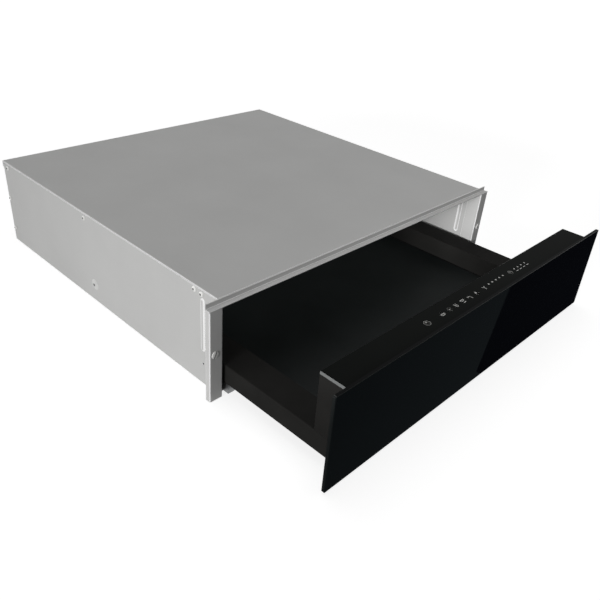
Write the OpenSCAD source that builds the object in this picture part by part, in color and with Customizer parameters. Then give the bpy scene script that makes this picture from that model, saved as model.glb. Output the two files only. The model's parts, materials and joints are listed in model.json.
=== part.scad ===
// Built-in warming drawer with a black glass front, standing partly open.
// Millimetres, +Z up, front towards -Y, origin at the centre of the casing's base.

/* [Casing] */
// Width over the side panels
casing_w = 556; // [520:1:700]
// Depth from the cover's front edge to the rear panel
casing_d = 538; // [530:1:600]
// Height from the base to the top of the cover
casing_h = 137.5; // [136:0.5:170]
// Sheet thickness of cover, side panels and rear panel
casing_sheet = 0.8; // [0.6:0.1:1]
// Sheet thickness of the base plate
base_sheet = 1; // [0.8:0.1:1.2]
// Height of the flanges folded along the casing's edges
flange_h = 12; // [10:0.5:13]
// How far the cover's rear flange stands behind the rear panel
rear_flange_proud = 3; // [2:0.5:6]
// Height of the cover's rear flange
rear_flange_h = 11; // [8:0.5:14]
// Width of the pressed bead in each side panel
bead_w = 8; // [6:0.5:12]
// Height that the bead stands out of the side panel
bead_rise = 1.4; // [0.6:0.1:1.5]
// Distance from the casing's front edge to the bead's middle
bead_from_front = 26; // [20:1:40]
// Length of the bead between its round ends
bead_len = 68; // [40:1:90]
// Distance from the cover's top to the middle of the bead's upper end
bead_drop = 15.5; // [14:0.5:30]

/* [Front frame] */
// Width over both posts
frame_w = 591; // [585:1:740]
// Distance that the posts' faces stand in front of the casing
frame_proud = 8.5; // [6:0.5:12]
// Sheet thickness of the frame
frame_sheet = 1; // [0.8:0.1:1.2]
// Depth of the frame's shelf below the top of the cover
shelf_drop = 7; // [5:0.5:9]
// Gap between the frame's posts and the floor of the niche
post_lift = 0.5; // [0:0.5:2]
// How far the post's inner flange reaches behind the casing's front edge
post_return = 14; // [10:1:16]
// Diameter of the shank of each frame fixing screw
frame_screw_d = 4; // [3.5:0.5:5]
// Length of that shank
frame_screw_len = 16; // [12:1:25]
// Height of the fixing screws above the base
frame_screw_z = 68.5; // [50:0.5:90]
// Distance between the two fixing screws
frame_screw_span = 575; // [573:1:715]

/* [Glass front] */
// Width of the front glass
glass_w = 595; // [590:1:745]
// Height of the front glass
glass_h = 129.6; // [126:0.2:160]
// Thickness of the front glass
glass_t = 4; // [3:0.5:6]
// Height of the glass's lower edge above the base
glass_lift = 3; // [1:0.5:5]
// Corner radius of the front glass
glass_corner = 2; // [1:0.5:6]
// Width of the ground edge on the front glass
glass_bevel = 0.6; // [0.3:0.1:1]
// Gap between the closed glass and the frame's posts
glass_gap = 2.5; // [2.5:0.1:5]

/* [Control box] */
// Depth of the box from the glass to its rear wall
box_d = 40; // [32:1:60]
// Height of the control panel's upper face above the base
box_top = 125; // [122:0.5:126]
// Thickness of the glass control panel
panel_t = 4; // [3:0.5:5]
// Width of the ground edge on the control panel
panel_bevel = 0.5; // [0.3:0.1:1]
// Sheet thickness of the box
box_sheet = 0.8; // [0.6:0.1:1.2]
// Thickness of the end caps
cap_t = 1.5; // [1:0.1:2.5]
// Thickness of the carrier plate behind the glass
carrier_t = 1.2; // [1:0.1:2]
// Thickness of the printed circuit boards
board_t = 1.6; // [1.2:0.1:2]

/* [Drawer] */
// Width over the drawer's sides
drawer_w = 542.8; // [506:0.2:690]
// Gap between the drawer's lower side edge and the base
side_lift = 19; // [17:0.5:24]
// Height of the drawer's sides
side_h = 26.2; // [24:0.2:40]
// Width of the ledge on each side of the pan
ledge_w = 41.4; // [40:0.2:60]
// Height of the pan's inside floor above the base
pan_floor = 13.5; // [12.5:0.5:16]
// Depth of the pan from the control box to its rear wall
pan_d = 405; // [350:1:410]
// Sheet thickness of the drawer
drawer_sheet = 0.8; // [0.6:0.1:1]
// Height of the drawer's rear wall above the base
rear_wall_h = 70; // [60:1:90]
// Thickness of the floor mat
mat_t = 2; // [1:0.5:4]
// Gap between the mat and the pan's walls
mat_gap = 4; // [3:0.5:8]
// Distance that the drawer stands open
open_at_rest = 184; // [0:1:250]

/* [Runners] */
// Length of each rail
rail_len = 450; // [400:5:450]
// Full travel of the drawer
travel = 380; // [300:5:400]
// Height of the cabinet rail
rail_h = 36; // [34:0.5:38]
// Sheet thickness of the rails
rail_sheet = 1.2; // [1:0.05:1.25]
// Height of the runner's middle above the base
rail_mid_z = 22; // [21:0.5:23]
// Radius of the balls
ball_r = 2; // [1.8:0.05:2.1]
// Gap between a ball and its raceway
race_gap = 0.3; // [0.2:0.05:0.35]
// Length of rail left at each end of a ball cage when the drawer is fully open
cage_margin = 20; // [10:1:40]
// Number of balls in each row of a cage
balls_per_row = 7; // [4:1:9]
// Width of the bracket that carries the cabinet rail
bracket_w = 14; // [12:0.5:16]
// Height of the bracket's step above the base
bracket_step = 15; // [13:0.5:16]
// Sheet thickness of that bracket
bracket_sheet = 1.5; // [1.2:0.1:1.8]
// Gap between the bracket and the drawer's side
bracket_gap = 1; // [0.5:0.1:2]
// Gap between the bracket's front end and the closed glass
bracket_front_gap = 0.5; // [0.3:0.1:2]
// Distance from the frame's front face back to the rails' front ends
rail_setback = 1.5; // [1:0.5:4]
// Sheet thickness of the carrier between drawer rail and ledge
hanger_sheet = 1.2; // [1:0.1:1.6]

/* [Heater and fan] */
// Distance from the rear panel to the air baffle
fan_bay_d = 90; // [86:1:100]
// Height of the fan's axis above the base
fan_z = 68; // [66:0.5:72]
// Radius of the fan wheel
fan_r = 42; // [36:1:44]
// Number of blades on the fan wheel
fan_blades = 10; // [6:1:14]
// Width of the blades along the axis
blade_w = 18; // [14:1:20]
// Distance from the air baffle to the front of the blades
wheel_setback = 9; // [6:0.5:12]
// Radius of the fan shaft
shaft_r = 2; // [1.5:0.1:2.5]
// Running clearance of shafts and plungers in their bores
running_gap = 0.05; // [0.02:0.01:0.08]
// Radius of the ring heating element
heater_r = 50; // [48:0.5:52]
// Radius of the heating element's tube
heater_tube_r = 3.2; // [2.5:0.1:3.5]
// Width of the fan housing
housing_w = 140; // [130:1:180]
// Height of the fan housing
housing_h = 120; // [112:1:124]
// Depth of the fan housing
housing_d = 38; // [36:1:40]

/* [Electrics] */
// Radius of the cable bushing's bore
cable_r = 4.5; // [3:0.5:5.5]
// Distance from the casing's middle to the cable bushing
cable_x = 220; // [180:1:240]
// Height of the cable bushing above the base
cable_z = 32; // [25:1:60]

/* [Push latch] */
// Length of the latch housing
latch_len = 70; // [60:1:80]
// Width of the latch housing
latch_w = 18; // [14:1:24]
// Height of the latch housing above the base plate
latch_h = 9; // [8.5:0.1:9.5]
// Radius of the latch plunger
plunger_r = 2.5; // [2:0.1:2.8]
// Distance that the plunger stands out of its housing
plunger_reach = 14; // [10:1:16]
// Travel of the plunger
plunger_travel = 8; // [4:0.5:9]
// Distance from the drawer's rear wall to the closed striker
striker_from_rear = 79; // [60:1:110]

/* [Hidden] */

$fn = 48;
// Length by which a cutter runs past the face it cuts
cut = 1;
// Points along each rounded stretch of an outline
arc_steps = 8;
// Radius of the folds in thin sheet, on the sheet's middle line
fold_r = 1.2;

// Casing faces
half_w = casing_w / 2;
front_y = -casing_d / 2;
rear_y = casing_d / 2;
inner_x = half_w - casing_sheet;
cover_under = casing_h - casing_sheet;
side_top = cover_under - casing_sheet;
rear_inner_y = rear_y - casing_sheet;
// Gap between neighbouring flanges that share a wall
flange_gap = 0.5;
flange_low = flange_h + flange_gap;
flange_high = cover_under - flange_h - flange_gap;

// Front frame faces
frame_y = front_y - frame_proud;
shelf_z = casing_h - shelf_drop;
post_in = inner_x - frame_sheet;
upstand_gap = 0.7;
frame_hole_r = frame_screw_d / 2 + 0.3;

// Drawer faces in the closed position
glass_back = frame_y - glass_gap;
box_rear = glass_back + box_d;
pan_rear = box_rear + pan_d;
side_x = drawer_w / 2;
ledge_top = side_lift + side_h;
ledge_under = ledge_top - drawer_sheet;
pan_x = side_x - ledge_w;
pan_under = pan_floor - drawer_sheet;
panel_under = box_top - panel_t;

// Runner places; u runs inboard from the bracket's wall, v upwards from the rail's middle
bracket_x = side_x - drawer_sheet - bracket_gap;
rail_x = bracket_x - bracket_w;
rail_front = frame_y + rail_setback;
bracket_front = glass_back + bracket_front_gap;
race_r = ball_r + race_gap;
race_back_r = race_r + rail_sheet;
outer_ball = [race_back_r, rail_h / 2 - race_back_r];
s_angle = 305;
inner_ball = outer_ball + (race_r + race_back_r) * [cos(s_angle), sin(s_angle)];
cabinet_lip = 20;
mid_lip = 25;
drawer_lip = 240;
drawer_web_angle = 335;
web_gap = 1.4;
mid_web = rail_sheet + web_gap;
drawer_web = inner_ball.x + race_r * cos(drawer_web_angle);
hanger_u = drawer_web + rail_sheet;
hanger_x = rail_x - hanger_u;
pocket_gap = 0.05;
cage_sheet = 0.55;
cage_rim = 0.65;
outer_cage_lip = outer_ball.x + ball_r + cage_rim;
inner_cage_lip = inner_ball.x + ball_r + cage_rim;
cage_len = rail_len - travel / 2 - 2 * cage_margin;
cage_front = rail_front + cage_margin + travel / 4;
ball_pitch = cage_len / balls_per_row;
bracket_screw_end = 54;
bracket_screw_pitch = rail_len / 2 - bracket_screw_end;
bracket_screw_y = [for (k = [0:2]) rail_front + bracket_screw_end + bracket_screw_pitch * k];
bracket_screw_x = bracket_x - bracket_w / 2;

// Fan bay places
baffle_y = rear_inner_y - fan_bay_d;
housing_rear = baffle_y + casing_sheet + housing_d;
housing_low = fan_z - housing_h / 2;
housing_high = fan_z + housing_h / 2;
wheel_disc = 1;
wheel_y = baffle_y + wheel_setback;
heater_y = wheel_y + (blade_w + wheel_disc) / 2;
heater_gap_angle = 12;
motor_w = 64;
motor_h = 54;
motor_foot_h = 10;
motor_stack = 20;
motor_standoff = 11;
motor_y = housing_rear + motor_standoff;
motor_rear = motor_y + motor_stack;
core_limb = 12;
core_stem_w = 26;
core_back = 6;
coil_w = 40;
coil_fit = 0.3;
coil_overhang = 6;
bore_gap = 0.5;
rotor_r = 12.5;
rotor_overhang = 1;
motor_post_r = 3.5;
motor_bolt_r = 2;
motor_post_x = 26;
motor_post_rise = 18;
motor_bracket_t = 2;
motor_bracket_gap = 5;
motor_bracket_h = 30;
bearing_r = 6;
bearing_len = 3;
shaft_end = 7;

// Electrics
sensor_x = 90;
sensor_rise = 27;
sensor_at = [-sensor_x, 0, fan_z + sensor_rise];
sensor_r = 3;
board_x = [-250, -130];
board_from_baffle = 16;
board_y = baffle_y + board_from_baffle;
board_d = 60;
board_lift = 8;
board_post_r = 3;
board_post_inset = 5;
bushing_wall = 3;
bushing_flange = 2.8;
bushing_reach = 12;

// Push latch places
striker_y = pan_rear - striker_from_rear;
striker_gap = 0.3;
plunger_tip_y = striker_y + striker_gap;
latch_front = plunger_tip_y + plunger_reach;
latch_axis_z = base_sheet + latch_h / 2;
latch_wall = 6;

// Side screws: distance behind the casing's front edge and height above the base
cover_screw_at = [[28.4, casing_h - 7], [41.7, casing_h - 6], [290.5, casing_h - 7.8],
    [casing_d - 14, casing_h - 8]];
rear_side_screw_at = [[casing_d - 5, 75.5], [casing_d - 5, 22.5]];
side_screw_at = concat(cover_screw_at, rear_side_screw_at);
side_screw_r = 1.5;
side_screw_hole = 1.7;
side_screw_head = [3.4, 2];
side_screw_len = 6;
side_screw_slot = 0.9;
rear_screw_x = [-200, 0, 200];
rear_screw_z = base_sheet + flange_h / 2;
rear_screw_len = 8;

CASING = "silver";
STEEL = "lightgrey";
ZINC = "darkgrey";
DARK = [0.13, 0.13, 0.12];
GLASS = [0.03, 0.04, 0.05];
PLASTIC = [0.2, 0.2, 0.2];
BOARD = [0.1, 0.35, 0.2];
COPPER = [0.72, 0.42, 0.2];

// ---- Shared shapes ----

// A box between two opposite corners
module block(lo, hi) {
    translate(lo) cube(hi - lo);
}

// A profile drawn in X and Z, carried from y0 to y1
module along_y(y0, y1) {
    translate([0, y1, 0]) rotate([90, 0, 0]) linear_extrude(y1 - y0) children();
}

// A profile drawn in Y and Z, carried from x0 to x1
module along_x(x0, x1) {
    translate([x0, 0, 0]) rotate([90, 0, 90]) linear_extrude(x1 - x0) children();
}

// A rod along Y
module rod_y(r, y0, y1) {
    translate([0, y1, 0]) rotate([90, 0, 0]) cylinder(r = r, h = y1 - y0);
}

// A rod along X
module rod_x(r, x0, x1) {
    translate([x0, 0, 0]) rotate([0, 90, 0]) cylinder(r = r, h = x1 - x0);
}

module mirrored() {
    mirror([1, 0, 0]) children();
}

module both_sides() {
    children();
    mirrored() children();
}

// Moves with a share of the drawer's opening
module opened(share) {
    translate([0, -open_at_rest * share, 0]) children();
}

function unit(v) = v / norm(v);
function left_of(d) = [-d.y, d.x];
function arc(c, r, a0, a1, from = 0) =
    [for (i = [from:arc_steps]) c + r * [cos(a0 + (a1 - a0) * i / arc_steps),
        sin(a0 + (a1 - a0) * i / arc_steps)]];
function reversed(p) = [for (i = [len(p) - 1:-1:0]) p[i]];
function flipped(p) = [for (i = [len(p) - 1:-1:0]) [p[i].x, -p[i].y]];

// One side of a folded sheet, offset by s from its middle line
function fold_corner(a, b, c, r, s) =
    let (d1 = unit(b - a), d2 = unit(c - b), turn = cross(d1, d2) > 0 ? 1 : -1,
        bend = acos(min(1, max(-1, d1 * d2))), start = b - d1 * r * tan(bend / 2),
        centre = start + turn * r * left_of(d1), radial = -turn * left_of(d1),
        a0 = atan2(radial.y, radial.x))
    arc(centre, r - turn * s, a0, a0 + turn * bend);
function fold_side(p, r, s) = concat(
    [p[0] + s * left_of(unit(p[1] - p[0]))],
    [for (i = [1:1:len(p) - 2]) each fold_corner(p[i - 1], p[i], p[i + 1], r, s)],
    [p[len(p) - 1] + s * left_of(unit(p[len(p) - 1] - p[len(p) - 2]))]);

// Cross-section of a sheet of thickness t folded along a path with fold radius r
module folded(path, t, r) {
    polygon(concat(fold_side(path, r, t / 2), reversed(fold_side(path, r, -t / 2))));
}

// A slot of overall length l and width w, lengthwise along X
module slot(l, w) {
    square([l - w, w], center = true);
    for (side = [-1, 1]) translate([side * (l - w) / 2, 0]) circle(r = w / 2);
}

// A rectangle with round corners, centred
module round_rect(w, h, r) {
    square([w - 2 * r, h], center = true);
    square([w, h - 2 * r], center = true);
    for (x = [-1, 1], y = [-1, 1]) translate([x * (w / 2 - r), y * (h / 2 - r)]) circle(r = r);
}

// A pan-head screw along +Z: head of radius r and height h below z = 0, shank above
module pan_screw(r, h, shank_r, shank_len, slot_w) {
    rim_h = 0.45 * h;
    difference() {
        union() {
            rotate_extrude() polygon(concat([[0, 0], [0, -h]],
                [for (i = [1:arc_steps]) [r * sin(90 * i / arc_steps),
                    -rim_h - (h - rim_h) * cos(90 * i / arc_steps)]],
                [[r, 0]]));
            cylinder(r = shank_r, h = shank_len);
        }
        translate([0, 0, -h]) cube([2 * r + cut, slot_w, 2 * rim_h], center = true);
    }
}

// ---- Casing ----

module base_plate() {
    mid = base_sheet / 2;
    air_slot = [20, 4];
    air_slot_reach = 90;
    air_slot_pitch = 12;
    color(ZINC) difference() {
        union() {
            along_y(front_y, rear_inner_y) folded([[-inner_x + mid, flange_h], [-inner_x + mid, mid],
                [inner_x - mid, mid], [inner_x - mid, flange_h]], base_sheet, fold_r);
            block([-inner_x + flange_h, rear_inner_y - base_sheet, 0],
                [inner_x - flange_h, rear_inner_y, flange_h]);
        }
        for (x = rear_screw_x) translate([x, 0, rear_screw_z])
            rod_y(side_screw_hole, rear_inner_y - base_sheet - cut, rear_inner_y + cut);
        both_sides() for (y = bracket_screw_y)
            translate([-bracket_screw_x, y, -cut]) cylinder(r = side_screw_hole, h = base_sheet + 2 * cut);
        for (x = [-air_slot_reach:air_slot_pitch:air_slot_reach], y = [motor_y - 4, motor_rear + 4])
            translate([x, y, -cut]) linear_extrude(base_sheet + 2 * cut)
                rotate(90) slot(air_slot.x, air_slot.y);
    }
}

// Circle radius of a bead with the given width and rise
bead_r = (bead_w * bead_w / 4 + bead_rise * bead_rise) / (2 * bead_rise);

// The rounded ridge of the pressed bead, standing out to x
module bead_form(x) {
    y = front_y + bead_from_front;
    top = casing_h - bead_drop;
    translate([-(x - bead_r), y, top - bead_len]) {
        cylinder(r = bead_r, h = bead_len);
        sphere(r = bead_r);
        translate([0, 0, bead_len]) sphere(r = bead_r);
    }
}

module side_screw_holes(x0, x1) {
    for (at = side_screw_at) translate([0, front_y + at[0], at[1]]) rod_x(side_screw_hole, x0, x1);
}

module left_side_panel() {
    dimple_at = [front_y + 279, 27.8];
    dimple_r = 3;
    dimple_rise = 0.6;
    pierce_at = [front_y + bead_from_front, 30.9];
    pierce_r = 1.6;
    color(CASING) difference() {
        union() {
            block([-half_w, front_y, 0], [-inner_x, rear_y, side_top]);
            intersection() {
                bead_form(half_w + bead_rise);
                block([-half_w - bead_w, front_y, 0], [-half_w, rear_y, side_top]);
            }
            translate([0, dimple_at[0], dimple_at[1]]) rod_x(dimple_r, -half_w - dimple_rise, -half_w);
        }
        intersection() {
            bead_form(half_w + bead_rise - casing_sheet);
            block([-half_w - bead_w, front_y, 0], [-inner_x + cut, rear_y, side_top]);
        }
        translate([0, pierce_at[0], pierce_at[1]]) rod_x(pierce_r, -half_w - cut, -inner_x + cut);
        side_screw_holes(-half_w - cut, -inner_x + cut);
    }
}

module rear_panel() {
    vent = [28, 3.5];
    vent_reach = 190;
    vent_pitch = [38, 8];
    vent_rows = 5;
    vent_low = 80;
    vent_shift = 20;
    blank_half_w = 60;
    fan_vent = [56, 4];
    fan_vent_reach = 36;
    fan_vent_pitch = 9;
    color(CASING) difference() {
        union() {
            block([-inner_x, rear_inner_y, 0], [inner_x, rear_y, side_top]);
            both_sides() block([-inner_x, rear_inner_y - flange_h, flange_low],
                [-inner_x + casing_sheet, rear_inner_y, flange_high]);
        }
        both_sides() side_screw_holes(-half_w - cut, -inner_x + casing_sheet + cut);
        for (x = rear_screw_x) translate([x, 0, rear_screw_z])
            rod_y(side_screw_hole, rear_inner_y - cut, rear_y + cut);
        for (x = [-vent_reach:vent_pitch.x:vent_reach], k = [0:vent_rows - 1]) if (abs(x) > blank_half_w)
            translate([x - vent_shift * sign(x), rear_y + cut, vent_low + vent_pitch.y * k])
                rotate([90, 0, 0]) linear_extrude(casing_sheet + 2 * cut) slot(vent.x, vent.y);
        for (x = [-fan_vent_reach:fan_vent_pitch:fan_vent_reach])
            translate([x, rear_y + cut, fan_z]) rotate([90, 0, 0])
                linear_extrude(casing_sheet + 2 * cut) rotate(90) slot(fan_vent.x, fan_vent.y);
        translate([cable_x, 0, cable_z])
            rod_y(cable_r + bushing_wall + pocket_gap, rear_inner_y - cut, rear_y + cut);
    }
}

module top_cover() {
    rear_face = rear_y + rear_flange_proud;
    hem = casing_sheet;
    skirt_setback = 2;
    lip_reach = 2;
    lip_end_gap = 1;
    flange_corner = 2;
    color(CASING) difference() {
        union() {
            along_y(front_y, rear_face) {
                translate([-inner_x, cover_under]) square([2 * inner_x, casing_sheet]);
                for (side = [-1, 1]) translate([side * inner_x, cover_under]) circle(r = hem);
            }
            both_sides() block([-inner_x, front_y + post_return + skirt_setback, cover_under - flange_h],
                [-inner_x + casing_sheet, rear_inner_y - flange_gap, cover_under]);
            block([-post_in + lip_end_gap, front_y, shelf_z - lip_reach],
                [post_in - lip_end_gap, front_y + casing_sheet, cover_under]);
            translate([0, rear_face, casing_h - rear_flange_h / 2]) rotate([90, 0, 0])
                linear_extrude(casing_sheet) {
                    translate([0, rear_flange_h / 4]) square([casing_w, rear_flange_h / 2], center = true);
                    round_rect(casing_w, rear_flange_h, flange_corner);
                }
        }
        both_sides() side_screw_holes(-half_w - cut, -inner_x + casing_sheet + cut);
    }
}

// ---- Front frame ----

module frame_post() {
    mid = frame_sheet / 2;
    notch_gap = 0.2;
    difference() {
        translate([0, 0, post_lift]) linear_extrude(shelf_z - frame_sheet - post_lift)
            folded([[-inner_x + mid, front_y + post_return], [-inner_x + mid, frame_y + mid],
                [-frame_w / 2 + mid, frame_y + mid], [-frame_w / 2 + mid, front_y - frame_sheet]],
                frame_sheet, frame_sheet);
        for (z = [[-cut, flange_low], [flange_high, casing_h]])
            block([-half_w - cut, front_y - notch_gap, z[0]],
                [-post_in + cut, front_y + post_return + cut, z[1]]);
        translate([-frame_screw_span / 2, 0, frame_screw_z])
            rod_y(frame_hole_r, frame_y - cut, frame_y + frame_sheet + cut);
    }
}

module front_frame() {
    mid = frame_sheet / 2;
    color(CASING) {
        both_sides() frame_post();
        along_x(-frame_w / 2, frame_w / 2)
            folded([[frame_y, shelf_z - mid], [front_y - mid, shelf_z - mid],
                [front_y - mid, casing_h - upstand_gap]], frame_sheet, frame_sheet);
    }
}

module frame_screws() {
    head_r = 5;
    head_gap = 0.7;
    slot_w = 1.2;
    color(STEEL) both_sides() translate([-frame_screw_span / 2, frame_y, frame_screw_z])
        rotate([-90, 0, 0]) {
            rotate(80) pan_screw(head_r, glass_gap - head_gap, frame_screw_d / 2, frame_screw_len, slot_w);
            cylinder(r = frame_hole_r - pocket_gap, h = frame_sheet);
        }
}

// A sheet-metal screw of the casing, with a shank of the given length
module sheet_screw(shank_len) {
    pan_screw(side_screw_head[0], side_screw_head[1], side_screw_r, shank_len, side_screw_slot);
}

module cover_screws() {
    color(STEEL) both_sides() for (at = side_screw_at) translate([-half_w, front_y + at[0], at[1]])
        rotate([0, 90, 0]) rotate(60) sheet_screw(side_screw_len);
}

module rear_screws() {
    color(STEEL) for (x = rear_screw_x) translate([x, rear_y, rear_screw_z])
        rotate([90, 0, 0]) rotate(30) sheet_screw(rear_screw_len);
}

// ---- Runners ----

// Puts a runner profile drawn in u and v in its place on the left side
module runner(y0, y1) {
    translate([-rail_x, 0, rail_mid_z]) along_y(y0, y1) children();
}

module left_rail_bracket() {
    mid = bracket_sheet / 2;
    foot = base_sheet + mid;
    foot_reach = 3;
    step = bracket_step - mid;
    access_r = 4;
    color(ZINC) difference() {
        union() {
            along_y(bracket_front, rail_front + rail_len)
                folded([[-rail_x - foot_reach, foot], [-bracket_x + mid, foot], [-bracket_x + mid, step],
                    [-rail_x - mid, step], [-rail_x - mid, rail_mid_z + rail_h / 2]],
                    bracket_sheet, bracket_sheet);
            block([-bracket_x + mid, bracket_front, foot],
                [-rail_x - mid, bracket_front + bracket_sheet, step]);
        }
        for (y = bracket_screw_y) translate([-bracket_screw_x, y, 0]) {
            cylinder(r = side_screw_hole, h = base_sheet + bracket_sheet + cut);
            translate([0, 0, bracket_step - bracket_sheet - cut])
                cylinder(r = access_r, h = bracket_sheet + 2 * cut);
        }
    }
}

module bracket_screws() {
    end_gap = 0.2;
    color(STEEL) both_sides() for (y = bracket_screw_y)
        translate([-bracket_screw_x, y, base_sheet + bracket_sheet]) mirror([0, 0, 1])
            sheet_screw(base_sheet + bracket_sheet - end_gap);
}

// Angle at which a circle of radius r round the outer ball meets the line u
function outer_meet(u, r) = 360 - acos((u - outer_ball.x) / r);
function inner_meet(u, r) = 360 - acos((u - inner_ball.x) / r);

module left_cabinet_rail() {
    edge = concat(
        arc(outer_ball, race_back_r, 180, cabinet_lip),
        arc(outer_ball, race_r, cabinet_lip, 180));
    color(ZINC) runner(rail_front, rail_front + rail_len) polygon(concat(edge, flipped(edge)));
}

module left_mid_rail() {
    edge = concat(
        arc(outer_ball, race_r, outer_meet(mid_web, race_r), s_angle),
        arc(inner_ball, race_back_r, s_angle - 180, mid_lip, 1),
        arc(inner_ball, race_r, mid_lip, s_angle - 180),
        arc(outer_ball, race_back_r, s_angle, outer_meet(mid_web + rail_sheet, race_back_r), 1));
    color(STEEL) opened(0.5) runner(rail_front, rail_front + rail_len)
        polygon(concat(edge, flipped(edge)));
}

module left_drawer_rail() {
    edge = concat(
        [[hanger_u, inner_ball.y + race_r * sin(drawer_web_angle)]],
        arc(inner_ball, race_r, drawer_web_angle, drawer_lip),
        arc(inner_ball, race_back_r, drawer_lip, inner_meet(drawer_web, race_back_r)));
    color(STEEL) opened(1) runner(rail_front, rail_front + rail_len)
        polygon(concat(edge, flipped(edge)));
}

// Both rows of balls of a cage, grown by gap
module ball_rows(ball, gap) {
    for (k = [0:balls_per_row - 1], side = [-1, 1])
        translate([-rail_x + ball.x, cage_front + ball_pitch * (k + 0.5), rail_mid_z + side * ball.y])
            sphere(r = ball_r + gap);
}

// A strip folded round both ball rows, with a pocket for each ball
module cage(ball, web, lip) {
    difference() {
        runner(cage_front, cage_front + cage_len)
            folded([[lip, ball.y], [web, ball.y], [web, -ball.y], [lip, -ball.y]],
                cage_sheet, cage_sheet / 2);
        ball_rows(ball, pocket_gap);
    }
}

module left_outer_cage() {
    color(PLASTIC) opened(0.25) cage(outer_ball, rail_sheet + web_gap / 2, outer_cage_lip);
}

module left_inner_cage() {
    web = (mid_web + rail_sheet + inner_ball.x + race_back_r * cos(drawer_lip)) / 2;
    color(PLASTIC) opened(0.75) cage(inner_ball, web, inner_cage_lip);
}

module left_outer_balls() {
    color(STEEL) opened(0.25) ball_rows(outer_ball, 0);
}

module left_inner_balls() {
    color(STEEL) opened(0.75) ball_rows(inner_ball, 0);
}

module left_rail_hanger() {
    mid = hanger_sheet / 2;
    lip_gap = 1;
    front_gap = 8;
    rear_gap = 6;
    flange_end = 2;
    color(DARK) opened(1) along_y(glass_back + front_gap, pan_rear - rear_gap)
        folded([[-hanger_x + mid, rail_mid_z - inner_ball.y + lip_gap],
            [-hanger_x + mid, ledge_under - mid], [-pan_x - flange_end, ledge_under - mid]],
            hanger_sheet, hanger_sheet);
}

// ---- Drawer ----

module left_drawer_side() {
    mid = drawer_sheet / 2;
    color(DARK) opened(1) along_y(glass_back, pan_rear - drawer_sheet)
        folded([[-side_x + mid, side_lift], [-side_x + mid, ledge_top - mid], [-pan_x, ledge_top - mid]],
            drawer_sheet, fold_r);
}

module drawer_pan() {
    mid = drawer_sheet / 2;
    color(DARK) opened(1) along_y(box_rear, pan_rear - drawer_sheet)
        folded([[-pan_x - mid, ledge_under], [-pan_x - mid, pan_floor - mid],
            [pan_x + mid, pan_floor - mid], [pan_x + mid, ledge_under]], drawer_sheet, 2 * fold_r);
}

module drawer_rear_wall() {
    inner_w = pan_x + drawer_sheet;
    top_fold = 6;
    vent = [30, 4];
    vent_reach = 190;
    vent_pitch = [38, 10];
    vent_low = 32;
    color(DARK) opened(1) difference() {
        union() {
            block([-inner_w, pan_rear - drawer_sheet, pan_under], [inner_w, pan_rear, rear_wall_h]);
            block([-side_x, pan_rear - drawer_sheet, ledge_under], [side_x, pan_rear, rear_wall_h]);
            block([-side_x, pan_rear - drawer_sheet, rear_wall_h - drawer_sheet],
                [side_x, pan_rear + top_fold, rear_wall_h]);
        }
        for (x = [-vent_reach:vent_pitch.x:vent_reach], k = [0:2])
            translate([x, pan_rear + cut, vent_low + vent_pitch.y * k]) rotate([90, 0, 0])
                linear_extrude(drawer_sheet + 2 * cut) slot(vent.x, vent.y);
    }
}

module floor_mat() {
    corner = 6;
    color(PLASTIC) opened(1) translate([0, (box_rear + pan_rear) / 2, pan_floor]) linear_extrude(mat_t)
        round_rect(2 * (pan_x - mat_gap), pan_d - drawer_sheet - 2 * mat_gap, corner);
}

module latch_striker() {
    t = 1.2;
    half = 12;
    flange = 16;
    lift = 1.5;
    color(ZINC) opened(1) along_x(-half, half)
        folded([[striker_y - flange, pan_under - t / 2], [striker_y - t / 2, pan_under - t / 2],
            [striker_y - t / 2, base_sheet + lift]], t, t);
}

// Front view of the control box: wide above the ledges, narrow between the sides
module box_front(inset) {
    w = side_x - cap_t;
    translate([-w, ledge_top + inset]) square([2 * w, panel_under - ledge_top - inset]);
    translate([-pan_x + inset, pan_floor + inset])
        square([2 * (pan_x - inset), panel_under - pan_floor - inset]);
}

module control_box() {
    color(DARK) opened(1) difference() {
        along_y(glass_back + carrier_t, box_rear) box_front(0);
        along_y(glass_back + carrier_t + box_sheet, box_rear - box_sheet) {
            box_front(box_sheet);
            translate([-side_x, ledge_top + box_sheet])
                square([2 * side_x, panel_under + cut - ledge_top - box_sheet]);
        }
    }
}

module left_end_cap() {
    plug = 7;
    wall = 1.2;
    y0 = glass_back + carrier_t + box_sheet;
    y1 = box_rear - box_sheet;
    z0 = ledge_top + box_sheet;
    color(DARK) opened(1) {
        block([-side_x, glass_back, ledge_top], [-side_x + cap_t, box_rear, panel_under]);
        difference() {
            block([-side_x + cap_t, y0, z0], [-side_x + cap_t + plug, y1, panel_under]);
            block([-side_x + cap_t - cut, y0 + wall, z0 + wall],
                [-side_x + cap_t + plug + cut, y1 - wall, panel_under - wall]);
        }
    }
}

module glass_carrier() {
    window = [60, 44];
    window_pitch = 78;
    window_drop = 2;
    corner = 5;
    color(ZINC) opened(1) along_y(glass_back, glass_back + carrier_t) difference() {
        box_front(0);
        for (k = [-3:3]) translate([k * window_pitch, (ledge_top + panel_under) / 2 - window_drop])
            round_rect(window.x, window.y, corner);
    }
}

module touch_board() {
    end_gap = 30;
    wall_gap = 4;
    half = pan_x - end_gap;
    y0 = glass_back + carrier_t + box_sheet + wall_gap;
    y1 = box_rear - box_sheet - wall_gap;
    low = panel_under - board_t;
    chip = [14, 3];
    chip_reach = 130;
    chip_pitch = 52;
    chip_inset = [6, 8];
    color(BOARD) opened(1) {
        block([-half, y0, low], [half, y1, panel_under]);
        for (x = [-chip_reach:chip_pitch:chip_reach])
            block([x, y0 + chip_inset[0], low - chip.y], [x + chip.x, y1 - chip_inset[1], low]);
    }
}

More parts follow.
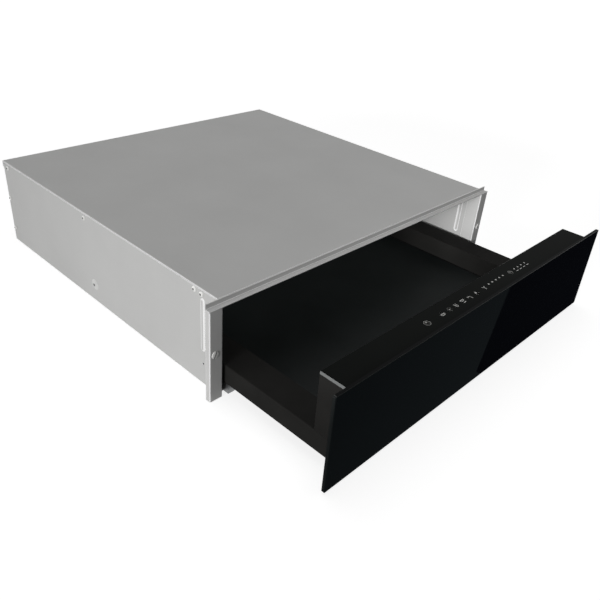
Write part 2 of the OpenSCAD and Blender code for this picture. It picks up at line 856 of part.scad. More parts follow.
module control_panel() {
    color(GLASS) opened(1) along_x(-side_x, side_x) polygon([[glass_back, panel_under],
        [box_rear, panel_under], [box_rear, box_top - panel_bevel], [box_rear - panel_bevel, box_top],
        [glass_back, box_top]]);
}

module front_glass() {
    b = glass_bevel;
    face = glass_back - glass_t;
    top = glass_lift + glass_h;
    half = glass_w / 2;
    color(GLASS) opened(1) intersection() {
        translate([0, glass_back, glass_lift + glass_h / 2]) rotate([90, 0, 0]) linear_extrude(glass_t)
            round_rect(glass_w, glass_h, glass_corner);
        along_x(-half, half) polygon([[glass_back, glass_lift], [face + b, glass_lift],
            [face, glass_lift + b], [face, top - b], [face + b, top], [glass_back, top]]);
        translate([0, 0, glass_lift]) linear_extrude(glass_h)
            polygon([[-half, glass_back], [-half, face + b], [-half + b, face], [half - b, face],
                [half, face + b], [half, glass_back]]);
    }
}

// ---- Heater and fan ----

module air_baffle() {
    mid = casing_sheet / 2;
    foot = 10;
    intake_r = 30;
    intake_reach = 24;
    intake_pitch = 8;
    intake_w = 4;
    outlet = [20, 5];
    outlet_x = 59;
    outlet_pitch = 11;
    color(CASING) difference() {
        along_x(-post_in, post_in) folded([[baffle_y + foot, base_sheet + mid],
            [baffle_y + mid, base_sheet + mid], [baffle_y + mid, cover_under]], casing_sheet, fold_r);
        for (x = [-intake_reach:intake_pitch:intake_reach])
            translate([x, baffle_y + casing_sheet + cut, fan_z]) rotate([90, 0, 0])
                linear_extrude(casing_sheet + 2 * cut) rotate(90)
                    slot(2 * sqrt(intake_r * intake_r - x * x), intake_w);
        both_sides() for (k = [-4:4])
            translate([-outlet_x, baffle_y + casing_sheet + cut, fan_z + outlet_pitch * k])
                rotate([90, 0, 0]) linear_extrude(casing_sheet + 2 * cut) slot(outlet.x, outlet.y);
        translate(sensor_at) rod_y(sensor_r + pocket_gap, baffle_y - cut, baffle_y + casing_sheet + cut);
    }
}

module fan_housing() {
    half = housing_w / 2;
    shaft_hole_r = 6;
    leg_gap = 0.5;
    color(CASING) difference() {
        block([-half, baffle_y + casing_sheet, housing_low], [half, housing_rear, housing_high]);
        block([-half + casing_sheet, baffle_y + casing_sheet - cut, housing_low + casing_sheet],
            [half - casing_sheet, housing_rear - casing_sheet, housing_high - casing_sheet]);
        translate([0, 0, fan_z])
            rod_y(shaft_hole_r, housing_rear - casing_sheet - cut, housing_rear + cut);
        for (side = [-1, 1]) translate([side * heater_r * sin(heater_gap_angle), 0,
            fan_z + heater_r * cos(heater_gap_angle)])
            rod_y(heater_tube_r + leg_gap, housing_rear - casing_sheet - cut, housing_rear + cut);
    }
}

module heating_element() {
    leg_end = housing_rear + 10;
    tab = [2 * heater_tube_r, 8, 0.8];
    tab_root = 0.5;
    flange = [44, 12];
    flange_t = 1.5;
    reach = 2 * heater_r;
    color(ZINC) {
        translate([0, heater_y, fan_z]) rotate([90, 0, 0]) difference() {
            rotate_extrude() translate([heater_r, 0]) circle(r = heater_tube_r);
            translate([0, 0, -reach / 2]) linear_extrude(reach) polygon([[0, 0],
                reach * [-sin(heater_gap_angle), cos(heater_gap_angle)],
                reach * [sin(heater_gap_angle), cos(heater_gap_angle)]]);
        }
        for (side = [-1, 1]) translate([side * heater_r * sin(heater_gap_angle), 0,
            fan_z + heater_r * cos(heater_gap_angle)]) {
            rod_y(heater_tube_r, heater_y - heater_tube_r, leg_end);
            block([-tab.x / 2, leg_end - tab_root, -tab.z / 2], [tab.x / 2, leg_end + tab.y, tab.z / 2]);
        }
        translate([0, housing_rear - casing_sheet, fan_z + heater_r * cos(heater_gap_angle)])
            rotate([90, 0, 0]) linear_extrude(flange_t) slot(flange.x, flange.y);
    }
}

module motor_core() {
    color(ZINC) difference() {
        block([-motor_w / 2, motor_y, fan_z - motor_h / 2 - motor_foot_h],
            [motor_w / 2, motor_rear, fan_z + motor_h / 2]);
        translate([0, 0, fan_z]) rod_y(rotor_r + bore_gap, motor_y - cut, motor_rear + cut);
        both_sides() block([-motor_w / 2 + core_limb, motor_y - cut, fan_z - motor_h / 2],
            [-core_stem_w / 2, motor_rear + cut, fan_z - rotor_r - core_back]);
        both_sides() translate([-motor_post_x, 0, fan_z + motor_post_rise])
            rod_y(motor_bolt_r + pocket_gap, motor_y - cut, motor_rear + cut);
    }
}

module motor_coil() {
    limb_x = motor_w / 2 - core_limb - coil_fit;
    color(COPPER) difference() {
        block([-coil_w / 2, motor_y - coil_overhang, fan_z - motor_h / 2 + coil_fit],
            [coil_w / 2, motor_rear + coil_overhang, fan_z - rotor_r - core_back - coil_fit]);
        block([-core_stem_w / 2, motor_y - cut, fan_z - motor_h],
            [core_stem_w / 2, motor_rear + cut, fan_z]);
        both_sides() block([-motor_w / 2, motor_y - coil_fit, fan_z - motor_h],
            [-limb_x, motor_rear + coil_fit, fan_z]);
    }
}

module motor_bracket() {
    front = motor_y - motor_bracket_gap;
    rear = motor_rear + motor_bracket_gap;
    corner = 4;
    color(STEEL) difference() {
        union() {
            for (y = [front, rear + motor_bracket_t])
                translate([0, y, fan_z + motor_post_rise / 2]) rotate([90, 0, 0])
                    linear_extrude(motor_bracket_t) round_rect(motor_w, motor_bracket_h, corner);
            translate([0, 0, fan_z]) rod_y(bearing_r, front - motor_bracket_t, front + bearing_len);
            translate([0, 0, fan_z]) rod_y(bearing_r, rear - bearing_len, rear + motor_bracket_t);
            both_sides() translate([-motor_post_x, 0, fan_z + motor_post_rise]) {
                rod_y(motor_post_r, housing_rear, motor_y);
                rod_y(motor_bolt_r, motor_y - cut, motor_rear + cut);
                rod_y(motor_post_r, motor_rear, rear + 2 * motor_bracket_t);
            }
        }
        translate([0, 0, fan_z])
            rod_y(shaft_r + running_gap, front - motor_bracket_t - cut, rear + motor_bracket_t + cut);
    }
}

module fan_wheel() {
    hub_r = 7;
    hub_gap = 0.02;
    hub_len = 14.4;
    blade_t = 0.8;
    root_r = 18;
    rim_gap = 0.5;
    sweep_r = 26;
    sweep_shift = 4;
    color(STEEL) difference() {
        translate([0, wheel_y + blade_w + wheel_disc, fan_z]) rotate([90, 0, 0]) {
            cylinder(r = fan_r, h = wheel_disc);
            cylinder(r = hub_r, h = hub_len);
            for (k = [0:fan_blades - 1]) rotate(k * 360 / fan_blades)
                linear_extrude(blade_w + wheel_disc) intersection() {
                    difference() {
                        circle(r = fan_r - rim_gap);
                        circle(r = root_r);
                    }
                    translate([root_r + sweep_shift, -sweep_r + sweep_shift]) difference() {
                        circle(r = sweep_r);
                        circle(r = sweep_r - blade_t);
                        translate([-2 * fan_r, -2 * fan_r]) square([2 * fan_r, 4 * fan_r]);
                        translate([-2 * fan_r, -4 * fan_r]) square([4 * fan_r, 4 * fan_r]);
                    }
                }
        }
        translate([0, 0, fan_z]) rod_y(shaft_r + hub_gap, wheel_y, wheel_y + blade_w + 2 * wheel_disc);
    }
}

module fan_shaft() {
    hub_setback = 3;
    color(ZINC) translate([0, 0, fan_z]) {
        rod_y(shaft_r, wheel_y + hub_setback, motor_rear + motor_bracket_t + shaft_end);
        rod_y(rotor_r, motor_y - rotor_overhang, motor_rear + rotor_overhang);
    }
}

module thermal_cutout() {
    corner_gap = [16, 18];
    at = [-housing_w / 2 + corner_gap.x, 0, housing_high - corner_gap.y];
    body_r = 8;
    body_len = 10;
    ears = [32, 18];
    ear_t = 0.8;
    tab = [6, 7, 0.8];
    tab_x = 4;
    tab_root = 0.5;
    end = housing_rear + body_len;
    color(PLASTIC) translate(at) {
        rod_y(body_r, housing_rear + ear_t, end);
        translate([0, housing_rear + ear_t, 0]) rotate([90, 0, 0])
            linear_extrude(ear_t) slot(ears.x, ears.y);
        for (side = [-1, 1]) block([side * tab_x - tab.x / 2, end - tab_root, -tab.z / 2],
            [side * tab_x + tab.x / 2, end + tab.y, tab.z / 2]);
    }
}

module temperature_sensor() {
    probe = 12;
    tail = 14;
    nut_r = 5.5;
    nut_h = 3;
    color(STEEL) translate(sensor_at) {
        rod_y(sensor_r, baffle_y - probe, baffle_y + tail);
        translate([0, baffle_y, 0]) rotate([90, 0, 0]) cylinder(r = nut_r, h = nut_h, $fn = 6);
    }
}

// ---- Electrics ----

module board_posts() {
    for (x = [board_x[0] + board_post_inset, board_x[1] - board_post_inset],
        y = [board_y + board_post_inset, board_y + board_d - board_post_inset])
        translate([x, y, base_sheet]) cylinder(r = board_post_r, h = board_lift);
}

module board_tray() {
    wall = 2;
    rim = 4;
    tray_h = 6;
    color(PLASTIC) difference() {
        union() {
            block([board_x[0] - rim, board_y - rim, base_sheet],
                [board_x[1] + rim, board_y + board_d + rim, base_sheet + tray_h]);
            board_posts();
        }
        difference() {
            block([board_x[0] - rim + wall, board_y - rim + wall, base_sheet + wall],
                [board_x[1] + rim - wall, board_y + board_d + rim - wall, base_sheet + tray_h + cut]);
            board_posts();
        }
    }
}

module power_board() {
    low = base_sheet + board_lift;
    top = low + board_t;
    relay = [19, 15, 16];
    relay_at = [12, 8];
    relay_pitch = 24;
    transformer = [32, 24, 24];
    transformer_at = [14, 30];
    capacitor_r = 7;
    capacitor_h = 26;
    capacitor_at = [62, 42];
    capacitor_pitch = 18;
    plug = [12, 40, 12];
    plug_at = [98, 10];
    color(BOARD) translate([board_x[0], board_y, 0]) {
        block([0, 0, low], [board_x[1] - board_x[0], board_d, top]);
        for (k = [0:2]) translate([relay_at.x + relay_pitch * k, relay_at.y, top]) cube(relay);
        translate([transformer_at.x, transformer_at.y, top]) cube(transformer);
        for (k = [0:1]) translate([capacitor_at.x + capacitor_pitch * k, capacitor_at.y, top])
            cylinder(r = capacitor_r, h = capacitor_h);
        translate([plug_at.x, plug_at.y, top]) cube(plug);
    }
}

module terminal_block() {
    poles = 4;
    pitch = 11;
    foot = [8, 20, 2];
    body_inset = 2;
    body_h = 28;
    wire_r = 2.4;
    wire_z = 14;
    screw_r = 2.6;
    screw_depth = 8;
    row = poles * pitch;
    from_cable = 60;
    from_rear = 34;
    color(PLASTIC) translate([cable_x - from_cable - row, rear_inner_y - from_rear, base_sheet])
        difference() {
            union() {
                block([-foot.x, 0, 0], [row + foot.x, foot.y, foot.z]);
                block([0, body_inset, 0], [row, foot.y - body_inset, body_h]);
            }
            for (k = [0:poles - 1]) translate([pitch * (k + 0.5), 0, 0]) {
                translate([0, 0, wire_z]) rod_y(wire_r, -cut, foot.y + cut);
                translate([0, foot.y / 2, body_h - screw_depth])
                    cylinder(r = screw_r, h = screw_depth + cut);
            }
        }
}

module cable_bushing() {
    flange_rim = 7;
    nut_rim = 5.5;
    nut_len = 8;
    color(PLASTIC) translate([cable_x, 0, cable_z]) difference() {
        union() {
            rod_y(cable_r + flange_rim, rear_y, rear_y + bushing_flange);
            rod_y(cable_r + bushing_wall, rear_inner_y - bushing_reach, rear_y);
            rod_y(cable_r + nut_rim, rear_inner_y - nut_len, rear_inner_y);
        }
        rod_y(cable_r, rear_inner_y - bushing_reach - cut, rear_y + bushing_flange + cut);
    }
}

// ---- Push latch ----

module latch_housing() {
    ear = [8, 12, 2.5];
    mid_y = latch_front + latch_len / 2;
    color(PLASTIC) difference() {
        union() {
            block([-latch_w / 2, latch_front, base_sheet],
                [latch_w / 2, latch_front + latch_len, base_sheet + latch_h]);
            block([-latch_w / 2 - ear.x, mid_y - ear.y / 2, base_sheet],
                [latch_w / 2 + ear.x, mid_y + ear.y / 2, base_sheet + ear.z]);
        }
        translate([0, 0, latch_axis_z])
            rod_y(plunger_r + running_gap, latch_front - cut, latch_front + latch_len - latch_wall);
        both_sides() translate([-(latch_w + ear.x) / 2, mid_y, 0])
            cylinder(r = side_screw_hole, h = base_sheet + ear.z + cut);
    }
}

module latch_plunger() {
    tip_rim = 0.8;
    tip_len = 3;
    end_gap = 1;
    bore_end = latch_front + latch_len - latch_wall;
    color(STEEL) translate([0, 0, latch_axis_z]) {
        rod_y(plunger_r, plunger_tip_y, bore_end - plunger_travel - end_gap);
        rod_y(plunger_r + tip_rim, plunger_tip_y, plunger_tip_y + tip_len);
    }
}

// ---- Right-hand copies ----

module right_side_panel() { mirrored() left_side_panel(); }
module right_rail_bracket() { mirrored() left_rail_bracket(); }
module right_cabinet_rail() { mirrored() left_cabinet_rail(); }
module right_mid_rail() { mirrored() left_mid_rail(); }
module right_drawer_rail() { mirrored() left_drawer_rail(); }
module right_outer_cage() { mirrored() left_outer_cage(); }
module right_inner_cage() { mirrored() left_inner_cage(); }
module right_outer_balls() { mirrored() left_outer_balls(); }
module right_inner_balls() { mirrored() left_inner_balls(); }
module right_rail_hanger() { mirrored() left_rail_hanger(); }
module right_drawer_side() { mirrored() left_drawer_side(); }
module right_end_cap() { mirrored() left_end_cap(); }

base_plate();
left_side_panel();
right_side_panel();
rear_panel();
top_cover();
front_frame();
cover_screws();
rear_screws();
frame_screws();
left_rail_bracket();
right_rail_bracket();
bracket_screws();
left_cabinet_rail();
right_cabinet_rail();
air_baffle();
fan_housing();
heating_element();
motor_core();
motor_coil();
motor_bracket();
thermal_cutout();
temperature_sensor();
board_tray();
power_board();
terminal_block();
cable_bushing();
latch_housing();
left_mid_rail();
right_mid_rail();
left_outer_cage();
right_outer_cage();
left_outer_balls();
right_outer_balls();
left_inner_cage();
right_inner_cage();
left_inner_balls();
right_inner_balls();
left_drawer_rail();
right_drawer_rail();
left_rail_hanger();
right_rail_hanger();
drawer_pan();
left_drawer_side();
right_drawer_side();
drawer_rear_wall();
floor_mat();
latch_striker();
control_box();
left_end_cap();
right_end_cap();
glass_carrier();
touch_board();
control_panel();
front_glass();
fan_wheel();
fan_shaft();
latch_plunger();
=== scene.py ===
import json
import math

import bmesh
import bpy
from mathutils import Matrix, Vector


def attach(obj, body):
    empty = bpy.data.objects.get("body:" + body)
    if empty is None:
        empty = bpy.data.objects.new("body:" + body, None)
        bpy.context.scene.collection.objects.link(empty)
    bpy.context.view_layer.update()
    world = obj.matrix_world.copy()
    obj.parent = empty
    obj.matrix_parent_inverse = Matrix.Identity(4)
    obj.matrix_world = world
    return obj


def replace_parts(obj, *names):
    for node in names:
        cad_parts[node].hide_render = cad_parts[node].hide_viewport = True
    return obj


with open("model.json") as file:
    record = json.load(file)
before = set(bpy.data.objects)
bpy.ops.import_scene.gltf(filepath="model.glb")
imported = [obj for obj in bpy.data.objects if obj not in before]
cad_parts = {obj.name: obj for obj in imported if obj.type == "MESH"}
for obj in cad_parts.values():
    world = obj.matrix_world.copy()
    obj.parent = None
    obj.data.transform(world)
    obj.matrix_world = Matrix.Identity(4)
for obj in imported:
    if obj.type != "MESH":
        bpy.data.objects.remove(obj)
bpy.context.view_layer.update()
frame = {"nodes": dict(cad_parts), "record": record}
MM = 0.001
X, Y, Z = range(3)
scene = bpy.context.scene

# ---- The photograph's camera, solved from corners of the casing and the glass ----
# Lens and sensor in millimetres, the rest in metres, and two of the camera's axes.
LENS = 39.057
SENSOR_W = 36.0
CLIP_NEAR = 0.05
CLIP_FAR = 60.0
CAMERA_AT = (-0.67393, -0.75528, 0.52631)
CAMERA_RIGHT = (0.702127, -0.708731, 0.068674)
CAMERA_BACK = (-0.63000, -0.57337, 0.52378)

# ---- Sheet: colours as linear shares of white, radii in metres ----
CASING_TONE = (0.535, 0.535, 0.528)
FRAME_TONE = (0.57, 0.57, 0.563)
SHEET_METALLIC = 0.03
CASING_FOLD_R = 0.0018
FRAME_FOLD_R = 0.0014
# How much lighter folds and edges are painted, as a painted highlight.
FOLD_PAINTED_HIGHLIGHT = 2.2

# ---- Screws, in metres as in the frame ----
SHEET_HEAD_R = 0.0034
SHEET_HEAD_H = 0.002
SHEET_HEAD_RIM = 0.3 * SHEET_HEAD_H
SHEET_SHANK_R = 0.0015
SOCKET_R = 0.0015
SOCKET_DEPTH = 0.0013
FRAME_HEAD_R = 0.005
FRAME_HEAD_H = 0.0011
FRAME_HEAD_RIM = 0.5 * FRAME_HEAD_H
FRAME_HEAD_CAD_H = 0.0018
FRAME_SHANK_R = 0.002
SLOT_W = 0.0013
SLOT_DEPTH = 0.0006
SLOT_LEAN = math.radians(22.0)
TURNED_STEPS = 32
DOME_STEPS = 8
SHARP = math.radians(35.0)

# ---- Top edge of the front frame's upstand, in metres ----
UPSTAND_HALF_W = 0.2955
UPSTAND_MIDDLE_Y = -0.2695
UPSTAND_TOP = 0.1368
UPSTAND_EDGE_R = 0.0005
UPSTAND_EDGE_STEPS = 10

# ---- Dimple of each side panel: metres, and its slope as shares of its radius and height ----
DIMPLE_X = 0.278
DIMPLE_Y = 0.010
DIMPLE_Z = 0.0278
DIMPLE_R = 0.0085
DIMPLE_H = 0.0016
DIMPLE_SLOPE = ((0.38, 0.97), (0.50, 0.86), (0.62, 0.64), (0.75, 0.36), (0.88, 0.11), (1.0, 0.0))
DIMPLE_HOLE_R = 0.0021
DIMPLE_HOLE_DEPTH = 0.0005

# ---- Touch symbols, in millimetres ----
PANEL_TOP = 125.0
PRINT_LIFT = 0.03
SYMBOL_Y = -443.2
STROKE = 0.9
BOLD_STROKE = 1.1

# ---- Stage: planes in millimetres, reaches in metres, light as shares of white ----
FAR = 9000
FLOOR_TONE = (0.44, 0.46)
FLOOR_GLOW = (0.8, 1.0)
SWEEP_REACH = (0.9, 2.6)
WORLD_LIGHT = 0.14
CEILING_Z = 2450
CARD_Z = 0.6
LOW_CARD_Z = 0.3
BESIDE_GLASS_Y = -469
SCRIM_X = -500
SCRIM_Y = (-900, 600)
SCRIM_Z = (1, 300)
SCRIM_GAP = (-355, 140)
SCRIM_REACH = (-0.37, 0.25)
SCRIM_PASS = (0.67, 0.485)


# ---- Camera ----
def make_camera():
    data = bpy.data.cameras.new("photo_view")
    data.sensor_width = SENSOR_W
    data.lens = LENS
    data.clip_start = CLIP_NEAR
    data.clip_end = CLIP_FAR
    camera = bpy.data.objects.new("photo_view", data)
    scene.collection.objects.link(camera)
    right = Vector(CAMERA_RIGHT).normalized()
    back = Vector(CAMERA_BACK)
    back = (back - right * back.dot(right)).normalized()
    up = back.cross(right)
    turn = Matrix((right, up, back)).transposed().to_4x4()
    camera.matrix_world = Matrix.Translation(CAMERA_AT) @ turn
    scene.camera = camera


# ---- Materials ----
class Nodes:
    """Short calls that add nodes to one node tree."""

    def __init__(self, tree):
        self.tree = tree

    def node(self, kind, **settings):
        made = self.tree.nodes.new(kind)
        for key, value in settings.items():
            setattr(made, key, value)
        return made

    def join(self, source, target):
        self.tree.links.new(source, target)

    def place(self):
        return self.node("ShaderNodeTexCoord").outputs["Object"]

    def ranged(self, source, low, high, start=0.3, end=0.7):
        """The source's range from start to end, turned into the range from low to high."""
        made = self.node("ShaderNodeMapRange")
        made.inputs["From Min"].default_value = start
        made.inputs["From Max"].default_value = end
        made.inputs["To Min"].default_value = low
        made.inputs["To Max"].default_value = high
        self.join(source, made.inputs["Value"])
        return made.outputs["Result"]

    def maths(self, operation, *values):
        made = self.node("ShaderNodeMath", operation=operation)
        for slot, value in zip(made.inputs, values):
            if isinstance(value, float):
                slot.default_value = value
            else:
                self.join(value, slot)
        return made.outputs[0]

    def background_share(self):
        """1 for a ray from the camera, off a mirror or through glass, and 0 for light on the object."""
        path = self.node("ShaderNodeLightPath").outputs
        mirrored = self.maths("MAXIMUM", path["Is Camera Ray"], path["Is Glossy Ray"])
        return self.maths("MAXIMUM", mirrored, path["Is Transmission Ray"])


MATERIALS = {}


class Surface(Nodes):
    """A node material built round one Principled shader, and kept in MATERIALS once it is finished."""

    def __init__(self, name, metallic=0.0, ior=1.5):
        self.name = name
        self.material = bpy.data.materials.new(name)
        self.material.use_nodes = True
        super().__init__(self.material.node_tree)
        self.shader = self.tree.nodes["Principled BSDF"]
        self.shader.inputs["Metallic"].default_value = metallic
        self.shader.inputs["IOR"].default_value = ior
        self.local = self.place()

    def textured(self, kind, cells, **settings):
        """A texture with this many cells per metre: one number, or one for each axis."""
        mapping = self.node("ShaderNodeMapping")
        mapping.inputs["Scale"].default_value = cells if isinstance(cells, tuple) else (cells, cells, cells)
        self.join(self.local, mapping.inputs["Vector"])
        made = self.node(kind, **settings)
        made.inputs["Scale"].default_value = 1.0
        self.join(mapping.outputs["Vector"], made.inputs["Vector"])
        return made

    def noise(self, cells, detail=3.0):
        made = self.textured("ShaderNodeTexNoise", cells)
        made.inputs["Detail"].default_value = detail
        made.inputs["Roughness"].default_value = 0.55
        return made.outputs["Fac"]

    def bands(self, direction):
        """Fine bands across X, Y or Z, as of wound wire or stacked sheets."""
        made = self.node("ShaderNodeTexWave", wave_type="BANDS", bands_direction=direction)
        made.inputs["Scale"].default_value = 320.0
        self.join(self.local, made.inputs["Vector"])
        return made.outputs["Fac"]

    def mixed(self, amount):
        """A colour mix by an amount from 0 to 1."""
        made = self.node("ShaderNodeMix", data_type="RGBA")
        self.join(amount, made.inputs["Factor"])
        return made

    def colour(self, amount, dark, light):
        """A colour between dark and light."""
        made = self.mixed(amount)
        made.inputs["A"].default_value = (*dark, 1.0)
        made.inputs["B"].default_value = (*light, 1.0)
        return made.outputs["Result"]

    def tint(self, base, amount, other):
        """The base colour, drawn towards another one."""
        made = self.mixed(amount)
        self.join(base, made.inputs["A"])
        made.inputs["B"].default_value = (*other, 1.0)
        return made.outputs["Result"]

    def rounded(self, radius):
        """The surface's normal, turned near its edges as if they were rounded."""
        made = self.node("ShaderNodeBevel", samples=6)
        made.inputs["Radius"].default_value = radius
        return made.outputs["Normal"]

    def steepness(self, normal):
        """How much a normal runs along each axis, from 0 to 1."""
        parts = self.node("ShaderNodeSeparateXYZ")
        self.join(normal, parts.inputs[0])
        return [self.maths("ABSOLUTE", part) for part in parts.outputs]

    def tilted(self, steep):
        """1 where a face lies along no main direction, as on a fold or a ground edge, and 0 elsewhere."""
        largest = self.maths("MAXIMUM", self.maths("MAXIMUM", steep[X], steep[Y]), steep[Z])
        return self.ranged(largest, low=1.0, high=0.0, start=0.92, end=0.99)

    def finish(self, colour, rough, height=None, depth=0.0, normal=None):
        """Gives the shader its colour and roughness and, where there is one, a relief of depth metres."""
        self.join(colour, self.shader.inputs["Base Color"])
        self.join(rough, self.shader.inputs["Roughness"])
        if height is not None:
            bump = self.node("ShaderNodeBump")
            bump.inputs["Distance"].default_value = depth
            bump.inputs["Strength"].default_value = 1.0
            self.join(height, bump.inputs["Height"])
            if normal is not None:
                self.join(normal, bump.inputs["Normal"])
            self.join(bump.outputs["Normal"], self.shader.inputs["Normal"])
        MATERIALS[self.name] = self.material


def shade(colour, factor):
    return tuple(min(1.0, part * factor) for part in colour)


def sheet_steel(name, colour, rough, fold_r):
    """Zinc-coated sheet: faint spangle, fine rolling lines along Y, and folds painted lighter as a painted
    highlight.
    """
    skin = Surface(name, SHEET_METALLIC)
    lines = skin.noise((900.0, 14.0, 900.0), detail=2.0)
    cloud = skin.noise(9.0, detail=2.0)
    spangle = skin.noise(150.0, detail=1.0)
    blend = skin.maths("ADD", skin.maths("MULTIPLY", lines, 0.35), skin.maths("MULTIPLY", cloud, 0.65))
    tone = skin.ranged(blend, low=0.0, high=1.0, start=0.35, end=0.65)
    base = skin.colour(tone, shade(colour, 0.97), shade(colour, 1.03))
    base = skin.tint(base, skin.ranged(spangle, low=0.0, high=0.05), shade(colour, 1.15))
    fold = skin.rounded(fold_r)
    # Folds and edges painted lighter: a painted highlight on top of their rounded shading.
    base = skin.tint(base, skin.tilted(skin.steepness(fold)), shade(colour, FOLD_PAINTED_HIGHLIGHT))
    skin.finish(base, skin.ranged(lines, rough - 0.04, rough + 0.05), lines, depth=0.000004, normal=fold)


def plated_steel(name, colour, rough, metallic=0.85):
    """Plated or polished metal with fine lines along Y."""
    skin = Surface(name, metallic)
    lines = skin.noise((600.0, 30.0, 600.0))
    cloud = skin.noise(30.0)
    base = skin.colour(skin.ranged(cloud, low=0.0, high=1.0), shade(colour, 0.92), shade(colour, 1.06))
    skin.finish(base, skin.ranged(lines, rough - 0.05, rough + 0.08), lines, depth=0.000005)


def grained(name, colour, rough, grain=1800.0, depth=0.00001, gloss=0.5):
    """Powder coat, moulded plastic or rubber with a fine grain."""
    skin = Surface(name)
    skin.shader.inputs["Specular IOR Level"].default_value = gloss
    fine = skin.noise(grain, detail=2.0)
    cloud = skin.noise(18.0)
    tone = skin.ranged(cloud, low=0.0, high=1.0)
    base = skin.colour(tone, shade(colour, 0.88), shade(colour, 1.12))
    skin.finish(base, skin.ranged(fine, rough - 0.05, rough + 0.07), fine, depth)


def black_glass(name, colour, ior, edge, end):
    """Back-printed black glass, with one colour for its ground edges and one for its end faces."""
    skin = Surface(name, ior=ior)
    cloud = skin.noise(6.0, detail=2.0)
    steep = skin.steepness(skin.node("ShaderNodeNewGeometry").outputs["Normal"])
    ground = skin.tilted(steep)
    sideways = skin.ranged(steep[X], low=0.0, high=1.0, start=0.9, end=0.95)
    base = skin.colour(skin.ranged(cloud, low=0.0, high=1.0), shade(colour, 0.85), shade(colour, 1.15))
    base = skin.tint(skin.tint(base, ground, edge), sideways, end)
    rough = skin.maths("ADD", skin.ranged(cloud, low=0.02, high=0.045), skin.maths("MULTIPLY", ground, 0.3))
    skin.finish(base, skin.maths("ADD", rough, skin.maths("MULTIPLY", sideways, 0.4)))


def layered_metal(name, colour, direction, dark, rough, depth):
    """Metal in fine layers, such as a coil's wire or a motor's core."""
    skin = Surface(name, metallic=0.6)
    layers = skin.bands(direction)
    base = skin.colour(layers, shade(colour, dark), shade(colour, 1.1))
    skin.finish(base, skin.ranged(layers, low=rough, high=rough - 0.15, start=0.0, end=1.0), layers, depth)


def circuit_board(name, colour):
    """Lacquered board with patches of lighter and darker tracks."""
    skin = Surface(name)
    tracks = skin.textured("ShaderNodeTexVoronoi", (160.0, 160.0, 400.0), feature="F1").outputs["Color"]
    fine = skin.noise(260.0, detail=2.0)
    split = skin.node("ShaderNodeSeparateColor")
    skin.join(tracks, split.inputs[0])
    tone = skin.ranged(split.outputs[0], low=0.0, high=1.0, start=0.2, end=0.8)
    base = skin.colour(tone, shade(colour, 0.75), shade(colour, 1.3))
    skin.finish(base, skin.ranged(fine, low=0.35, high=0.5), fine, depth=0.00002)


def make_materials():
    """Every finish by its name: those of the record's material slots, and those of this script's pieces."""
    sheet_steel("casing_steel", CASING_TONE, rough=0.5, fold_r=CASING_FOLD_R)
    sheet_steel("frame_steel", FRAME_TONE, rough=0.5, fold_r=FRAME_FOLD_R)
    plated_steel("rail_steel", (0.27, 0.275, 0.28), rough=0.34)
    plated_steel("bright_steel", (0.72, 0.73, 0.74), rough=0.14, metallic=1.0)
    plated_steel("screw_steel", (0.72, 0.72, 0.71), rough=0.3, metallic=0.35)
    # Screw plating made near white and hardly metallic: the plating's own brightness together with a
    # painted highlight, where a metal head would mirror its surroundings.
    plated_steel("plating_and_painted_highlight", (0.93, 0.93, 0.91), rough=0.35, metallic=0.05)
    # The casing's steel made lighter for the dimple: a painted highlight.
    plated_steel("dimple_painted_highlight", shade(CASING_TONE, 1.22), rough=0.42, metallic=SHEET_METALLIC)
    plated_steel("heater_steel", (0.32, 0.3, 0.28), rough=0.5, metallic=0.7)
    grained("black_paint", (0.0188, 0.0185, 0.0176), rough=0.5, gloss=0.01)
    black_glass("black_glass", (0.0014, 0.0018, 0.0022), ior=1.4,
                edge=(0.005, 0.006, 0.0062), end=(0.0075, 0.0088, 0.009))
    black_glass("panel_glass", (0.0066, 0.0076, 0.0070), ior=1.2,
                edge=(0.012, 0.012, 0.012), end=(0.15, 0.155, 0.155))
    grained("black_plastic", (0.0165, 0.0160, 0.0152), rough=0.5, grain=900.0, gloss=0.1)
    grained("mat_rubber", (0.0105, 0.0127, 0.0126), rough=0.55, grain=700.0, depth=0.00003, gloss=0.22)
    # Near black painted into sockets, slots and the dimples' holes as painted shade.
    grained("recess_painted_shade", (0.05, 0.05, 0.05), rough=0.5)
    grained("cage_plastic", (0.16, 0.17, 0.18), rough=0.5, grain=900.0)
    grained("white_print", (0.62, 0.62, 0.60), rough=0.6, grain=900.0)
    circuit_board("board_green", (0.05, 0.2, 0.1))
    layered_metal("core_steel", (0.3, 0.3, 0.31), "Y", dark=0.7, rough=0.55, depth=0.0001)
    layered_metal("coil_copper", (0.62, 0.3, 0.13), "Z", dark=0.55, rough=0.45, depth=0.0002)


def dress_nodes():
    """Gives each CAD node the material that the record names for it."""
    for part in frame["record"]["subparts"]:
        for held in frame["nodes"][part["node"]].material_slots:
            held.material = MATERIALS[part["material_slot"]]


# ---- Turned pieces: screw heads in place of the plain CAD screws, dimples, and the upstand's edge ----
def solids_of(node):
    """Lowest and highest corner of each separate solid of a CAD node, in metres."""
    work = bmesh.new()
    work.from_mesh(frame["nodes"][node].data)
    bmesh.ops.remove_doubles(work, verts=work.verts, dist=0.00001)
    left = set(work.verts)
    found = []
    while left:
        reached = [left.pop()]
        for vert in reached:
            near = [edge.other_vert(vert) for edge in vert.link_edges]
            for other in near:
                if other in left:
                    left.remove(other)
                    reached.append(other)
        found.append(tuple(tuple(pick(vert.co[axis] for vert in reached) for axis in (X, Y, Z))
                           for pick in (min, max)))
    work.free()
    return sorted(found)


